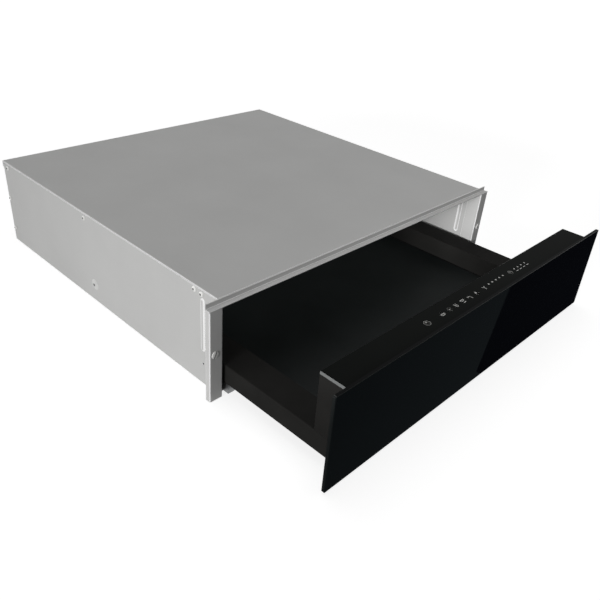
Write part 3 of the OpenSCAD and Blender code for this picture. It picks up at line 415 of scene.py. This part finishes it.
def turn(work, seat, out, profile, painted_shade_rings):
    """Revolves a profile of (radius, height) in metres round the line from seat towards out. The faces
    between its first few rings, as many as the count given, take the object's second material: painted
    shade for a recess.
    """
    side = out.orthogonal().normalized()
    other = out.cross(side)
    angles = [2 * math.pi * k / TURNED_STEPS for k in range(TURNED_STEPS)]
    rings = []
    for r, h in profile:
        if r == 0:
            rings.append([work.verts.new(seat + out * h)])
            continue
        rings.append([work.verts.new(seat + out * h + (side * math.cos(a) + other * math.sin(a)) * r)
                      for a in angles])
    for index, (upper, lower) in enumerate(zip(rings, rings[1:])):
        for k in range(TURNED_STEPS):
            corners = [upper[k % len(upper)], lower[k % len(lower)], lower[(k + 1) % len(lower)],
                       upper[(k + 1) % len(upper)]]
            face = work.faces.new([v for n, v in enumerate(corners) if v not in corners[:n]])
            face.smooth = True
            face.material_index = int(index < painted_shade_rings)


def dome(r, h, rim, inner):
    """Points of a domed head, from the radius inner at its top down to its rim."""
    start = math.asin(inner / r)
    angles = [start + (math.pi / 2 - start) * k / DOME_STEPS for k in range(DOME_STEPS + 1)]
    return [(r * math.sin(a), rim + (h - rim) * math.cos(a)) for a in angles] + [(r, 0.0)]


def shank(r, length):
    """Points of a screw's shank, from under its head to its end."""
    return [(r, 0.0), (r, -length), (0.0, -length)]


def seat_of(low, high, axis, sign, head_h):
    """Where a CAD screw's head sits, the way it faces, and the length of the shank behind."""
    out = Vector([sign if k == axis else 0.0 for k in (X, Y, Z)])
    seat = (Vector(low) + Vector(high)) / 2
    seat[axis] = (high[axis] if sign > 0 else low[axis]) - sign * head_h
    return seat, out, high[axis] - low[axis] - head_h


def casing_object(name, work, finish):
    """A finished mesh that stays with the casing: its own finish, then the near black painted shade of its
    recesses.
    """
    bmesh.ops.recalc_face_normals(work, faces=work.faces)
    mesh = bpy.data.meshes.new(name)
    work.to_mesh(mesh)
    work.free()
    made = bpy.data.objects.new(name, mesh)
    scene.collection.objects.link(made)
    mesh.materials.append(MATERIALS[finish])
    mesh.materials.append(MATERIALS["recess_painted_shade"])
    mesh.set_sharp_from_angle(angle=SHARP)
    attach(made, "casing")
    return made


def socket_screws(name, node, axis):
    """Sheet-metal screws with a domed head and a round socket, the socket painted dark as painted shade."""
    work = bmesh.new()
    head = dome(SHEET_HEAD_R, SHEET_HEAD_H, SHEET_HEAD_RIM, SOCKET_R)
    floor = head[0][1] - SOCKET_DEPTH
    for low, high in solids_of(node):
        sign = math.copysign(1.0, low[axis] + high[axis])
        seat, out, tip = seat_of(low, high, axis, sign, SHEET_HEAD_H)
        profile = [(0.0, floor), (SOCKET_R, floor)] + head + shank(SHEET_SHANK_R, tip)
        turn(work, seat, out, profile, painted_shade_rings=2)
    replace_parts(casing_object(name, work, "plating_and_painted_highlight"), node)


def slotted_screws(name, node):
    """The two fixing screws of the front frame, with a low head and a slot, the slot painted dark as
    painted shade.
    """
    work = bmesh.new()
    cutter = bmesh.new()
    for low, high in solids_of(node):
        seat, out, tip = seat_of(low, high, Y, -1.0, FRAME_HEAD_CAD_H)
        profile = dome(FRAME_HEAD_R, FRAME_HEAD_H, FRAME_HEAD_RIM, 0.0) + shank(FRAME_SHANK_R, tip)
        turn(work, seat, out, profile, painted_shade_rings=0)
        lean = Matrix.Rotation(SLOT_LEAN, 4, "Y")
        size = Matrix.Diagonal((SLOT_W, FRAME_HEAD_H, 3 * FRAME_HEAD_R, 1.0))
        middle = Matrix.Translation(seat + out * (FRAME_HEAD_H * 1.5 - SLOT_DEPTH))
        bmesh.ops.create_cube(cutter, size=1.0, matrix=middle @ lean @ size)
    # The slot's faces take the second material: painted shade in the slot.
    for face in cutter.faces:
        face.material_index = 1
    made = casing_object(name, work, "plating_and_painted_highlight")
    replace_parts(made, node)
    cut_away(made, cutter)


def cut_away(made, cutter):
    """Cuts the cutter's cubes out of an object, and keeps the result as its mesh."""
    mesh = bpy.data.meshes.new("slot_cutter")
    cutter.to_mesh(mesh)
    cutter.free()
    blade = bpy.data.objects.new("slot_cutter", mesh)
    scene.collection.objects.link(blade)
    for material in made.data.materials:
        mesh.materials.append(material)
    cut = made.modifiers.new("slots", "BOOLEAN")
    cut.operation = "DIFFERENCE"
    cut.solver = "EXACT"
    cut.object = blade
    shaped = bpy.data.meshes.new_from_object(made.evaluated_get(bpy.context.evaluated_depsgraph_get()))
    made.modifiers.clear()
    made.data = shaped
    bpy.data.objects.remove(blade)


def side_dimples():
    """The pressed dimple round the small hole of each side panel, over the CAD's plain boss: casing steel
    painted lighter as a painted highlight, its hole painted dark as painted shade.
    """
    work = bmesh.new()
    floor = DIMPLE_H - DIMPLE_HOLE_DEPTH
    hole = [(0.0, floor), (DIMPLE_HOLE_R, floor), (DIMPLE_HOLE_R, DIMPLE_H)]
    slope = [(r * DIMPLE_R, h * DIMPLE_H) for r, h in DIMPLE_SLOPE]
    for side in (-1, 1):
        seat = Vector((side * DIMPLE_X, DIMPLE_Y, DIMPLE_Z))
        turn(work, seat, Vector((side, 0.0, 0.0)), hole + slope + [(0.0, 0.0)], painted_shade_rings=2)
    casing_object("side_dimples", work, "dimple_painted_highlight")


def upstand_edge():
    """The rounded top edge of the front frame's upstand, painted near white as a painted highlight line."""
    work = bmesh.new()
    angles = [math.pi * k / UPSTAND_EDGE_STEPS for k in range(UPSTAND_EDGE_STEPS + 1)]
    ends = [[work.verts.new((x, UPSTAND_MIDDLE_Y + UPSTAND_EDGE_R * math.cos(a),
                             UPSTAND_TOP + UPSTAND_EDGE_R * math.sin(a))) for a in angles]
            for x in (-UPSTAND_HALF_W, UPSTAND_HALF_W)]
    for end in ends:
        work.faces.new(end)
    for k in range(len(angles)):  # the first of these faces is the flat one underneath
        work.faces.new((ends[0][k - 1], ends[0][k], ends[1][k], ends[1][k - 1]))
    # Near white: a painted highlight along the edge.
    casing_object("upstand_edge", work, "plating_and_painted_highlight")


# ---- Touch symbols printed on the control panel, in millimetres ----
class Print:
    """Flat printed shapes at one height, as one mesh. Places are given along the row of symbols."""

    def __init__(self, z):
        self.z = z
        self.points = []
        self.faces = []

    def shape(self, outline):
        start = len(self.points)
        self.points += [(x * MM, (SYMBOL_Y + y) * MM, self.z * MM) for x, y in outline]
        self.faces.append(tuple(range(start, start + len(outline))))

    def disc(self, x, y, r, steps=16):
        angles = [2 * math.pi * k / steps for k in range(steps)]
        self.shape([(x + r * math.cos(a), y + r * math.sin(a)) for a in angles])

    def line(self, path, width=STROKE):
        """Straight strokes from point to point, with square ends."""
        for (x0, y0), (x1, y1) in zip(path, path[1:]):
            length = math.hypot(x1 - x0, y1 - y0)
            dx, dy = (x1 - x0) / length * width / 2, (y1 - y0) / length * width / 2
            self.shape([(x0 - dx - dy, y0 - dy + dx), (x0 - dx + dy, y0 - dy - dx),
                        (x1 + dx + dy, y1 + dy - dx), (x1 + dx - dy, y1 + dy + dx)])

    def arc(self, x, y, r, width=STROKE, start=0, end=360, steps=20):
        """A round stroke between two angles in degrees."""
        angles = [math.radians(start + (end - start) * k / steps) for k in range(steps + 1)]
        self.line([(x + r * math.cos(a), y + r * math.sin(a)) for a in angles], width)

    def made(self, name):
        mesh = bpy.data.meshes.new(name)
        mesh.from_pydata(self.points, [], self.faces)
        mesh.update()
        made = bpy.data.objects.new(name, mesh)
        scene.collection.objects.link(made)
        mesh.materials.append(MATERIALS["white_print"])
        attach(made, "drawer")


def power_symbol(ink, x):
    ink.arc(x, 0, 4.2)
    ink.arc(x, 0, 2.2, start=125, end=415)
    ink.line([(x, 0.4), (x, 2.6)])


def cup_symbol(ink, x):
    ink.line([(x - 4.6, -0.3), (x + 3.0, -0.3), (x + 1.8, -2.8), (x - 3.4, -2.8), (x - 4.6, -0.3)])
    ink.arc(x + 3.0, -1.2, 1.0, start=-90, end=90)
    ink.arc(x - 0.2, 2.2, 1.1)


def plate_symbol(ink, x):
    ink.arc(x, 0, 2.8, BOLD_STROKE)
    ink.disc(x, 0, 0.9)


def glass_symbol(ink, x):
    ink.line([(x - 1.8, 2.8), (x - 1.4, -2.8), (x + 1.4, -2.8), (x + 1.8, 2.8)])
    ink.line([(x - 1.6, 0.4), (x + 1.6, 0.4)])


def bowl_symbol(ink, x):
    ink.line([(x - 4.0, 2.8), (x + 4.0, 2.8), (x + 2.4, 0.4), (x - 2.4, 0.4), (x - 4.0, 2.8)])
    ink.line([(x - 2.0, -3.0), (x + 2.2, -2.4)])


def warmth_symbol(ink, x):
    ink.disc(x - 2.8, 1.2, 1.1)
    ink.line([(x - 2.8, 1.6), (x + 0.6, 1.6), (x + 2.0, -0.4), (x + 1.6, -2.6)], BOLD_STROKE)
    ink.disc(x + 1.6, -2.6, 1.1)


def drop_symbol(ink, x):
    ink.disc(x, 1.0, 1.6)
    ink.shape([(x - 1.3, 1.9), (x, 3.8), (x + 1.3, 1.9)])
    ink.arc(x, 0.6, 4.0, BOLD_STROKE, start=235, end=325)


def heat_scale(ink, x):
    """A fork for the temperature, and its five steps."""
    ink.line([(x, -2.6), (x, 0.4), (x - 2.2, 2.8)])
    ink.line([(x, 0.4), (x + 2.2, 2.8)])
    for k in range(5):
        ink.disc(x + 12.8 + 8.9 * k, 2.0, 1.25)


def time_scale(ink, x):
    """A clock, and its four steps with a bar below each."""
    ink.arc(x, 0, 3.4)
    ink.line([(x, 1.9), (x, 0), (x + 1.6, 0)])
    for k in range(4):
        ink.disc(x + 13.0 + 9.1 * k, 1.5, 1.15)
        ink.line([(x + 10.8 + 9.1 * k, -3.6), (x + 14.8 + 9.1 * k, -3.6)])


SYMBOLS = ((power_symbol, -113.0), (cup_symbol, -82.0), (plate_symbol, -67.3), (glass_symbol, -53.0),
           (bowl_symbol, -37.6), (warmth_symbol, -22.8), (drop_symbol, -7.7), (heat_scale, 12.4),
           (time_scale, 77.2))


def touch_symbols():
    """The row of symbols on the panel: each one and its place from left to right."""
    ink = Print(PANEL_TOP + PRINT_LIFT)
    for symbol, x in SYMBOLS:
        symbol(ink, x)
    ink.made("touch_symbols")


# ---- Floor, cards, scrim, lamps and world ----
def plane(name, corners):
    mesh = bpy.data.meshes.new(name)
    points = [tuple(part * MM for part in corner) for corner in corners]
    mesh.from_pydata(points, [], [tuple(range(len(points)))])
    made = bpy.data.objects.new(name, mesh)
    scene.collection.objects.link(made)
    return made


def bare_material(made, name):
    """A material without a shader, for a stage object: its nodes, and the socket for its surface."""
    material = bpy.data.materials.new(name)
    material.use_nodes = True
    material.node_tree.nodes.clear()
    made.data.materials.append(material)
    nodes = Nodes(material.node_tree)
    return nodes, nodes.node("ShaderNodeOutputMaterial").inputs["Surface"]


def make_floor():
    """A floor that keeps the object's shadow and rises to the white of the background with distance."""
    floor = plane("floor", [(-FAR, -FAR, 0), (FAR, -FAR, 0), (FAR, FAR, 0), (-FAR, FAR, 0)])
    nodes, surface = bare_material(floor, "floor")
    cloud = nodes.node("ShaderNodeTexNoise")
    cloud.inputs["Scale"].default_value = 4.0
    diffuse = nodes.node("ShaderNodeBsdfDiffuse")
    nodes.join(nodes.ranged(cloud.outputs["Fac"], *FLOOR_TONE, 0.0, 1.0), diffuse.inputs["Color"])
    reach = nodes.node("ShaderNodeVectorMath", operation="LENGTH")
    nodes.join(nodes.place(), reach.inputs[0])
    sweep = nodes.ranged(reach.outputs["Value"], *FLOOR_GLOW, *SWEEP_REACH)
    glow = nodes.node("ShaderNodeEmission")
    nodes.join(nodes.maths("MULTIPLY", nodes.background_share(), sweep), glow.inputs["Strength"])
    both = nodes.node("ShaderNodeAddShader")
    nodes.join(diffuse.outputs[0], both.inputs[0])
    nodes.join(glow.outputs[0], both.inputs[1])
    nodes.join(both.outputs[0], surface)


def card(name, tone, z, corners):
    """A flat card that glows with an even tone and that only mirror rays see: a painted reflection."""
    made = plane(name, [(x, y, z) for x, y in corners])
    material = bpy.data.materials.new(name)
    material.use_nodes = True
    shader = material.node_tree.nodes["Principled BSDF"]
    shader.inputs["Base Color"].default_value = (0.0, 0.0, 0.0, 1.0)
    shader.inputs["Specular IOR Level"].default_value = 0.0
    shader.inputs["Emission Color"].default_value = (*tone, 1.0)
    shader.inputs["Emission Strength"].default_value = 1.0
    made.data.materials.append(material)
    made.visible_camera = False
    made.visible_diffuse = False
    made.visible_shadow = False
    made.visible_transmission = False


def make_cards():
    """Glowing cards that only glass and sheet mirror, as painted reflections: a grey ceiling overhead, and
    three on the floor at the glass, the darkest one a painted reflection of shade on the floor beside the
    glass.
    """
    card("ceiling_card", (0.14, 0.14, 0.14), CEILING_Z,
         [(-FAR, -FAR), (7000, -FAR), (7000, 3400), (2900, 7300), (-FAR, 7300)])
    card("left_card", (0.020, 0.021, 0.021), CARD_Z,
         [(-600, BESIDE_GLASS_Y), (-300, BESIDE_GLASS_Y), (-300, -330), (-600, -330)])
    card("grey_card", (0.035, 0.043, 0.047), LOW_CARD_Z,
         [(-3000, -288), (-3000, -4000), (4000, -4000), (4000, -288)])
    # Painted reflection of shade on the floor beside the glass.
    card("dark_card", (0.008, 0.009, 0.013), CARD_Z,
         [(14, -476), (14, BESIDE_GLASS_Y), (1400, BESIDE_GLASS_Y), (1400, -963)])


def make_scrim():
    """A net between the side lamp and the casing, denser to the rear and open at the drawer."""
    (front, rear), (low, high), (open_y, open_z) = SCRIM_Y, SCRIM_Z, SCRIM_GAP
    outline = [(front, low), (rear, low), (rear, high), (open_y, high), (open_y, open_z), (front, open_z)]
    net = plane("scrim", [(SCRIM_X, y, z) for y, z in outline])
    nodes, surface = bare_material(net, "scrim")
    parts = nodes.node("ShaderNodeSeparateXYZ")
    nodes.join(nodes.place(), parts.inputs[0])
    clear = nodes.node("ShaderNodeBsdfTransparent")
    nodes.join(nodes.ranged(parts.outputs["Y"], *SCRIM_PASS, *SCRIM_REACH), clear.inputs["Color"])
    nodes.join(clear.outputs[0], surface)
    net.visible_camera = False
    net.visible_diffuse = False
    net.visible_glossy = False
    net.visible_transmission = False


def lamp(name, place, aim, size, power, spread=180.0):
    """A lamp of size metres at place that faces aim, with its power in watts."""
    data = bpy.data.lights.new(name, "AREA")
    data.shape = "RECTANGLE"
    data.size, data.size_y = size
    data.energy = power
    data.spread = math.radians(spread)
    made = bpy.data.objects.new(name, data)
    scene.collection.objects.link(made)
    made.location = place
    made.rotation_euler = (Vector(aim) - Vector(place)).to_track_quat("-Z", "Y").to_euler()
    return made


def make_lamps():
    lamp("overhead", place=(0.1, 0.15, 2.4), aim=(0.0, 0.0, 0.1), size=(2.4, 2.4), power=22.7)
    side = lamp("left_low", place=(-6.8, -1.5, 1.10), aim=(0.27, -0.22, 0.085), size=(2.2, 0.8), power=17.5,
                spread=30.0)
    side.visible_glossy = False
    fill = lamp("under_cover", place=(0.0, -0.14, 0.128), aim=(0.0, -0.14, 0.0), size=(0.48, 0.22),
                power=0.16)
    fill.visible_camera = False
    fill.visible_glossy = False


def make_world():
    """White where the camera, a mirror or glass shows it, and a low even light on the object."""
    world = bpy.data.worlds.new("studio")
    world.use_nodes = True
    nodes = Nodes(world.node_tree)
    background = nodes.tree.nodes["Background"]
    strength = nodes.ranged(nodes.background_share(), WORLD_LIGHT, 1.0, 0.0, 1.0)
    nodes.join(strength, background.inputs["Strength"])
    background.inputs["Color"].default_value = (1.0, 1.0, 1.0, 1.0)
    scene.world = world


make_camera()
make_materials()
dress_nodes()
socket_screws("cover_screw_heads", "cover_screws", X)
socket_screws("rear_screw_heads", "rear_screws", Y)
slotted_screws("frame_screw_heads", "frame_screws")
side_dimples()
upstand_edge()
touch_symbols()
make_floor()
make_cards()
make_scrim()
make_world()
make_lamps()

scene.view_settings.view_transform = "Standard"
